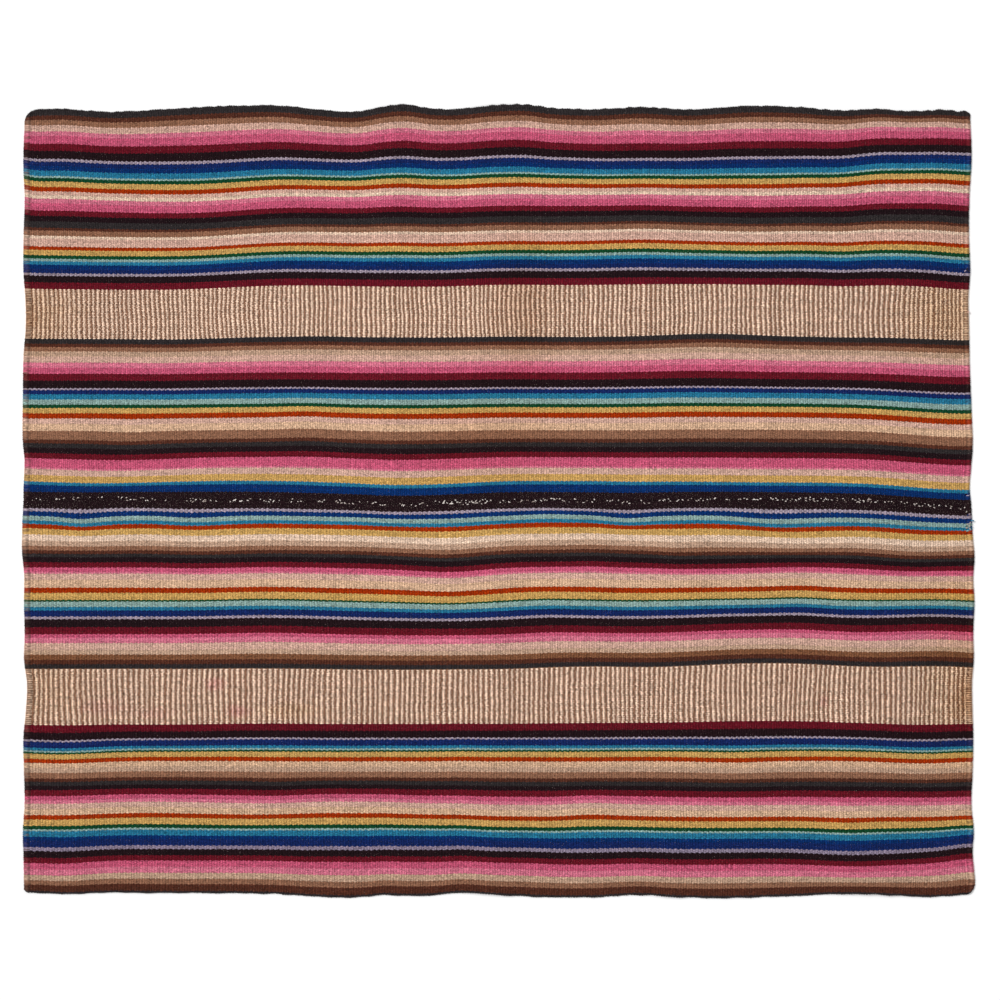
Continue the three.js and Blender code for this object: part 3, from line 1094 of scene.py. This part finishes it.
def make_wool(panel):
    """The striped wool of one panel."""
    wool, tree, shader = new_material(f"{panel.name}_striped_wool", WOOL_ROUGHNESS, WOOL_SPECULAR)
    weave = add(tree, "ShaderNodeUVMap", uv_map="weave").outputs["UV"]
    wobble = vectors(tree, "MULTIPLY", centred_noise(tree, weave, WOBBLE_SCALE), YARN_WOBBLE)
    place = vectors(tree, "ADD", weave, wobble)
    pick, across = parts(tree, place)
    in_band = within(tree, across, panel, ("ribs",), 0.0)
    bead = bead_on_top(tree, panel, place, in_band)
    dyed = group_node(tree, stripe_groups[panel.name], Warp=bead.warp).outputs["Color"]
    crest = maths(tree, "COSINE", maths(tree, "MULTIPLY", pick, 2 * math.pi))
    crest = maths(tree, "MULTIPLY_ADD", crest, -0.5, 0.5)
    fibre_place = vectors(tree, "MULTIPLY", weave, FIBRE_STRETCH)
    fibre = parts(tree, centred_noise(tree, fibre_place, 1.0, 1.0))[0]

    colour = vectors(tree, "MULTIPLY", dyed, yarn_shade(tree, place, bead, fibre, crest, in_band))
    colour = linted(tree, panel, across, fibre_place, colour)
    colour = worn_ends_and_groove_shade(tree, panel, place, colour)
    colour = stained_and_fold_shaded(tree, panel, colour)
    feed(tree, shader.inputs["Base Color"], colour)
    feed(tree, shader.inputs["Normal"], wool_bump(tree, bead, fibre, crest, in_band))
    return wool


# %% Dress both panels
for panel in PANELS:
    cloth = add_object(f"{panel.name}_cloth", panel_mesh(panel))
    cloth.data.materials.append(make_wool(panel))
    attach(cloth, "root")
    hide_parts(f"{panel.name}_panel")
    print(cloth.name, len(cloth.data.polygons), "faces")

# %% [markdown]
# ## Loops round the ends
# A panel of this kind has four finished edges: at each end the warps turn round a thick cord and go back.
# From the side one sees a row of small loops, one for each pair of warps, in the colours of the stripes. A
# tree of Geometry Nodes bends one arc of yarn and sets it on every point it is given. The points carry the
# turn, the size and the tint of their arc.

# %% Build the tree that sets arcs of yarn
ARC_SIDES = 5
ARC_BENDS = 6


def geometry_tree(name, inputs):
    """A tree of Geometry Nodes with these inputs, and its inside input and output nodes."""
    mesh = [("Geometry", "Geometry")]
    return new_tree(name, "GeometryNodeTree", mesh + inputs, mesh)


def node(tree, kind, inputs, **settings):
    """A node with its inputs fed by name. Returns its first live output."""
    made = add(tree, kind, **settings)
    live = {socket.name: socket for socket in made.inputs if socket.enabled}
    for name, value in inputs.items():
        feed(tree, live[name], value)
    return next(socket for socket in made.outputs if socket.enabled)


def unit_arc(tree, thickness):
    """An arc of yarn over the X axis, one unit high and two long."""
    bend = node(
        tree, "GeometryNodeCurveArc",
        {"Resolution": ARC_BENDS, "Radius": 1.0, "Start Angle": 0.0, "Sweep Angle": math.pi},
    )
    upright = node(tree, "GeometryNodeTransform", {"Geometry": bend, "Rotation": (math.pi / 2, 0, 0)})
    ring = node(tree, "GeometryNodeCurvePrimitiveCircle", {"Resolution": ARC_SIDES, "Radius": thickness})
    return node(tree, "GeometryNodeCurveToMesh", {"Curve": upright, "Profile Curve": ring, "Fill Caps": True})


def finish_yarn(tree, given, result, instances):
    """Makes the instances real, smooth and of the given material."""
    solid = node(tree, "GeometryNodeRealizeInstances", {"Geometry": instances})
    smooth = node(tree, "GeometryNodeSetShadeSmooth", {"Geometry": solid, "Shade Smooth": True})
    material = given.outputs["Material"]
    dressed = node(tree, "GeometryNodeSetMaterial", {"Geometry": smooth, "Material": material})
    feed(tree, result.inputs["Geometry"], dressed)


def build_arc_tree():
    """Sets an arc of yarn on every point, turned and sized as the point says."""
    tree, given, result = geometry_tree("arcs_of_yarn", [("Thickness", "Float"), ("Material", "Material")])
    arc = unit_arc(tree, given.outputs["Thickness"])
    turn = node(tree, "GeometryNodeInputNamedAttribute", {"Name": "turn"}, data_type="FLOAT_VECTOR")
    size = node(tree, "GeometryNodeInputNamedAttribute", {"Name": "size"}, data_type="FLOAT_VECTOR")
    instances = node(
        tree, "GeometryNodeInstanceOnPoints",
        {"Points": given.outputs["Geometry"], "Instance": arc, "Rotation": turn, "Scale": size},
    )
    finish_yarn(tree, given, result, instances)
    return tree


arc_tree = build_arc_tree()
print("arc tree:", len(arc_tree.nodes), "nodes")

# %% [markdown]
# A guide mesh goes in, the tree runs on it once, and what it makes is kept as a plain mesh. The yarn of
# these small pieces takes its tint from its point, with a little unevenness along it.

# %% Grow yarn on a guide
YARN_GRAIN = 900
YARN_SHADE, YARN_DARKEST = 0.7, 0.55


def grow(name, guide, tree, slot, **settings):
    """Runs a tree on a guide mesh and keeps the result as a plain piece on the frame."""
    piece = add_object(name, guide)
    modifier = piece.modifiers.new("grow", "NODES")
    modifier.node_group = tree
    for item in tree.interface.items_tree:
        if item.in_out == "INPUT" and item.name in settings:
            modifier[item.identifier] = settings[item.name]
    ready = piece.evaluated_get(bpy.context.evaluated_depsgraph_get())
    grown = bpy.data.meshes.new_from_object(ready)
    piece.modifiers.clear()
    piece.data = grown
    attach(piece, "root")
    print(name, len(grown.polygons), "faces")
    return piece


def guide_points(name, points, turns, sizes, tints):
    """A mesh of loose points, in metres, that carry the turn, size and tint of their yarn."""
    mesh = bpy.data.meshes.new(name)
    mesh.from_pydata([tuple(point) for point in points], [], [])
    for label, kind, field, values in (
        ("turn", "FLOAT_VECTOR", "vector", turns),
        ("size", "FLOAT_VECTOR", "vector", sizes),
        ("tint", "FLOAT_COLOR", "color", tints),
    ):
        attribute = mesh.attributes.new(label, kind, "POINT")
        attribute.data.foreach_set(field, np.array(values, np.float32).ravel())
    return mesh


def make_tinted_yarn():
    """Wool that takes its colour from the tint of its piece of yarn."""
    yarn, tree, shader = new_material("tinted_yarn", WOOL_ROUGHNESS, WOOL_SPECULAR)
    tint = add(tree, "ShaderNodeAttribute", attribute_name="tint").outputs["Color"]
    place = add(tree, "ShaderNodeTexCoord").outputs["Object"]
    noise = add(tree, "ShaderNodeTexNoise")
    feed(tree, noise.inputs["Vector"], place)
    noise.inputs["Scale"].default_value = YARN_GRAIN
    shade = maths(tree, "MULTIPLY_ADD", noise.outputs[0], YARN_SHADE, YARN_DARKEST)
    feed(tree, shader.inputs["Base Color"], vectors(tree, "MULTIPLY", tint, shade))
    return yarn


tinted_yarn = make_tinted_yarn()

# %% Set the loops at both ends of each panel
LOOP_HEIGHT = 1.05
LOOP_DEPTH = 1.6
LOOP_WIDTH = 3.7
LOOP_THICKNESS = 0.35
LOOP_UNEVEN = (0.8, 1.12)
LOOP_TILT = 0.06


def warp_tint(panel_name, warp):
    """Light of the yarn that a warp is spun from."""
    stripe = next(s for s in charts[panel_name] if s.first <= warp < s.first + s.count)
    dark = stripe.yarn == "ribs" and warp % 2
    return np.array(linear(RIB_DARK if dark else YARNS[stripe.yarn]))


def end_loops(panel):
    """Guide points of the loops at both ends of a panel."""
    dice = np.random.default_rng(SEED + 20 + panel.side)
    warps = np.arange(2, warp_total[panel.name] - 2, 2)
    share = warps / warp_total[panel.name]
    across = 1 - share if panel.side > 0 else share
    points, turns, sizes, tints = [], [], [], []
    for end in (-1, 1):
        x, y, _ = panel_plan(panel, np.array(end * HALF_LENGTH, float), across)
        z = fold_lift(x, y) + CLOTH_THICKNESS / 2
        x = x - end * (LOOP_DEPTH * (1 + LOOP_THICKNESS) - LOOP_REACH)
        reach = LOOP_DEPTH * dice.uniform(*LOOP_UNEVEN, len(warps))
        for k, warp in enumerate(warps):
            points.append((x[k] * MM, y[k] * MM, z[k] * MM))
            turns.append((0, end * math.pi / 2, dice.normal(0, LOOP_TILT)))
            sizes.append((LOOP_HEIGHT * MM, LOOP_WIDTH * MM, reach[k] * MM))
            tints.append(warp_tint(panel.name, warp))
    return guide_points(f"{panel.name}_loop_points", points, turns, sizes, tints)


for panel in PANELS:
    grow(
        f"{panel.name}_end_loops", end_loops(panel), arc_tree, "striped_wool",
        Thickness=LOOP_THICKNESS, Material=tinted_yarn,
    )

# %% [markdown]
# ## The seam
# The two panels are joined edge to edge with a pale thread. Only flecks of it show between the black warps:
# some stretches are sewn closely, in others the thread has sunk in or was never drawn up. Each row below is
# one sewn stretch, with the side of the seam it leans to. The tree spaces the stitches along it, leaves some
# out and tilts the rest.

# %% Build the tree that sews
SEWING_PITCH = 4.6
SEWING_SKIP = 0.2
STITCH_STRAY = 3 * MM
STITCH_TILT = 0.9
STITCH_SMALL = (0.6 * MM, 1.1 * MM, 0.8 * MM)
STITCH_LARGE = (1.5 * MM, 1.8 * MM, 1.3 * MM)


def random_value(tree, kind, low, high, seed):
    """Random values between two limits, fixed by a seed."""
    return node(tree, "FunctionNodeRandomValue", {"Min": low, "Max": high, "Seed": seed}, data_type=kind)


def build_sewing_tree():
    """Sets short stitches along a line, with some left out."""
    tree, given, result = geometry_tree(
        "sewing", [("Pitch", "Float"), ("Skip", "Float"), ("Thickness", "Float"), ("Material", "Material")]
    )
    arc = unit_arc(tree, given.outputs["Thickness"])
    line = node(tree, "GeometryNodeMeshToCurve", {"Mesh": given.outputs["Geometry"]})
    spaced = node(
        tree, "GeometryNodeResampleCurve",
        {"Curve": line, "Length": given.outputs["Pitch"]}, mode="LENGTH",
    )
    spots = node(tree, "GeometryNodeCurveToPoints", {"Curve": spaced}, mode="EVALUATED")
    low, high = (-STITCH_STRAY, -STITCH_STRAY, 0), (STITCH_STRAY, STITCH_STRAY, 0)
    stray = random_value(tree, "FLOAT_VECTOR", low, high, SEED)
    strewn = node(tree, "GeometryNodeSetPosition", {"Geometry": spots, "Offset": stray})
    chance = random_value(tree, "FLOAT", 0.0, 1.0, SEED + 1)
    kept = maths(tree, "GREATER_THAN", chance, given.outputs["Skip"])
    tilt = random_value(tree, "FLOAT_VECTOR", (0, 0, -STITCH_TILT), (0, 0, STITCH_TILT), SEED + 2)
    size = random_value(tree, "FLOAT_VECTOR", STITCH_SMALL, STITCH_LARGE, SEED + 3)
    instances = node(
        tree, "GeometryNodeInstanceOnPoints",
        {"Points": strewn, "Selection": kept, "Instance": arc, "Rotation": tilt, "Scale": size},
    )
    finish_yarn(tree, given, result, instances)
    return tree


sewing_tree = build_sewing_tree()
print("sewing tree:", len(sewing_tree.nodes), "nodes")

# %% Sew the seam
Sewn = namedtuple("Sewn", "start end lean")
SEWN = [
    Sewn(-785, -725, 0),
    Sewn(-715, -665, 1),
    Sewn(-635, -550, 1),
    Sewn(-525, -475, 0),
    Sewn(-510, -490, -1),
    Sewn(-450, -380, 0),
    Sewn(-375, -330, 1),
    Sewn(-305, -290, 0),
    Sewn(-275, -180, 0),
    Sewn(-172, -120, -1),
    Sewn(-108, -20, 1),
    Sewn(-95, -15, -2),
    Sewn(0, 55, 0),
    Sewn(60, 130, 1),
    Sewn(135, 160, 0),
    Sewn(175, 255, -1),
    Sewn(270, 295, 0),
    Sewn(298, 365, 0),
    Sewn(385, 440, 1),
    Sewn(455, 490, 0),
    Sewn(495, 640, 1),
    Sewn(515, 625, 3),
    Sewn(650, 700, 0),
    Sewn(700, 780, -1),
]
THREAD_PALE = (244, 236, 230)
THREAD_DIM = (120, 98, 90)
THREAD_ROUGHNESS = 0.85
THREAD_SPECULAR = 0.1
THREAD_THICKNESS = 0.55
SUNK_SCALE = 130
SUNK_STEEP, SUNK_SHIFT, SUNK_SOFT = 2.2, -0.6, 0.2
SEAM_DEPTH = 0.7
RUN_POINTS = 9


def seam_guide():
    """Broken line along the seam, in metres, where the thread shows."""
    points, links = [], []
    for run in SEWN:
        x = np.linspace(run.start, run.end, RUN_POINTS)
        y = seam_line(x) + run.lean
        z = fold_lift(x, y) + CLOTH_THICKNESS - SEAM_DEPTH
        links += [(len(points) + k, len(points) + k + 1) for k in range(len(x) - 1)]
        points += [tuple(point * MM) for point in np.stack([x, y, z], -1)]
    mesh = bpy.data.meshes.new("seam_guide")
    mesh.from_pydata(points, links, [])
    return mesh


def make_thread():
    """Pale sewing thread, dimmer where it has sunk in."""
    thread, tree, shader = new_material("pale_thread", THREAD_ROUGHNESS, THREAD_SPECULAR)
    place = add(tree, "ShaderNodeTexCoord").outputs["Object"]
    noise = add(tree, "ShaderNodeTexNoise")
    feed(tree, noise.inputs["Vector"], place)
    noise.inputs["Scale"].default_value = SUNK_SCALE
    share = maths(tree, "MULTIPLY_ADD", noise.outputs[0], SUNK_STEEP, SUNK_SHIFT)
    share = maths(tree, "SMOOTH_MIN", share, 1.0, SUNK_SOFT)
    feed(tree, shader.inputs["Base Color"], mix(tree, "RGBA", share, linear(THREAD_DIM), linear(THREAD_PALE)))
    return thread


grow(
    "seam_sewing", seam_guide(), sewing_tree, "sewing_thread",
    Pitch=SEWING_PITCH * MM, Skip=SEWING_SKIP, Thickness=THREAD_THICKNESS, Material=make_thread(),
)

# %% [markdown]
# ## A darned end
# Just below the seam at the right end the edge has worn through and been caught down with odd bits of yarn:
# a pale patch, a few dark strands and a blue tip that stands out. A few more bits mend the same end higher
# up. Each bit is listed with its place and its turn in degrees.

# %% Darn the worn place
Bit = namedtuple("Bit", "x y turn length yarn")
DARN = [
    Bit(785, -18, 60, 2.6, "ash"),
    Bit(790, -22, 20, 3.0, "lavender"),
    Bit(787, -24, 95, 2.6, "navy"),
    Bit(784, -29, 10, 3.4, "lavender"),
    Bit(795, -33, -6, 4.6, "sky"),
    Bit(789, -33, 4, 4.6, "deep_blue"),
    Bit(791, -37, 75, 3.4, "ash"),
    Bit(787, -39, 40, 3.8, "ash"),
    Bit(783, -41, 15, 3.4, "aqua"),
    Bit(790, -42, 100, 3.8, "ash"),
    Bit(793, -43, 20, 2.2, "navy"),
    Bit(786, -45, 5, 3.8, "ash"),
    Bit(791, -47, 130, 3.4, "ash"),
    Bit(787, -50, 10, 4.0, "aqua"),
    Bit(792, -53, 30, 2.6, "dark_brown"),
    Bit(787, 9, 5, 4.0, "lavender"),
    Bit(784, 11, -10, 3.0, "black"),
    Bit(783, 386, 30, 3.0, "lavender"),
    Bit(786, 389, 60, 3.6, "charcoal"),
    Bit(788, 386, 10, 3.4, "charcoal"),
    Bit(788, 317, 20, 3.0, "rose"),
]
BIT_HEIGHT = 2.2
BIT_THICKNESS = 0.5
BIT_DEPTH = 0.5


def darn_points():
    """Guide points of the darning."""
    points, turns, sizes, tints = [], [], [], []
    for bit in DARN:
        lift = float(fold_lift(np.array(bit.x, float), np.array(bit.y, float)))
        points.append((bit.x * MM, bit.y * MM, (lift + CLOTH_THICKNESS - BIT_DEPTH) * MM))
        turns.append((0, 0, math.radians(bit.turn)))
        sizes.append((bit.length / 2 * MM, BIT_HEIGHT * MM, BIT_HEIGHT * MM))
        tints.append(linear(YARNS[bit.yarn]))
    return guide_points("darn_points", points, turns, sizes, tints)


grow(
    "darning", darn_points(), arc_tree, "striped_wool", Thickness=BIT_THICKNESS, Material=tinted_yarn
)
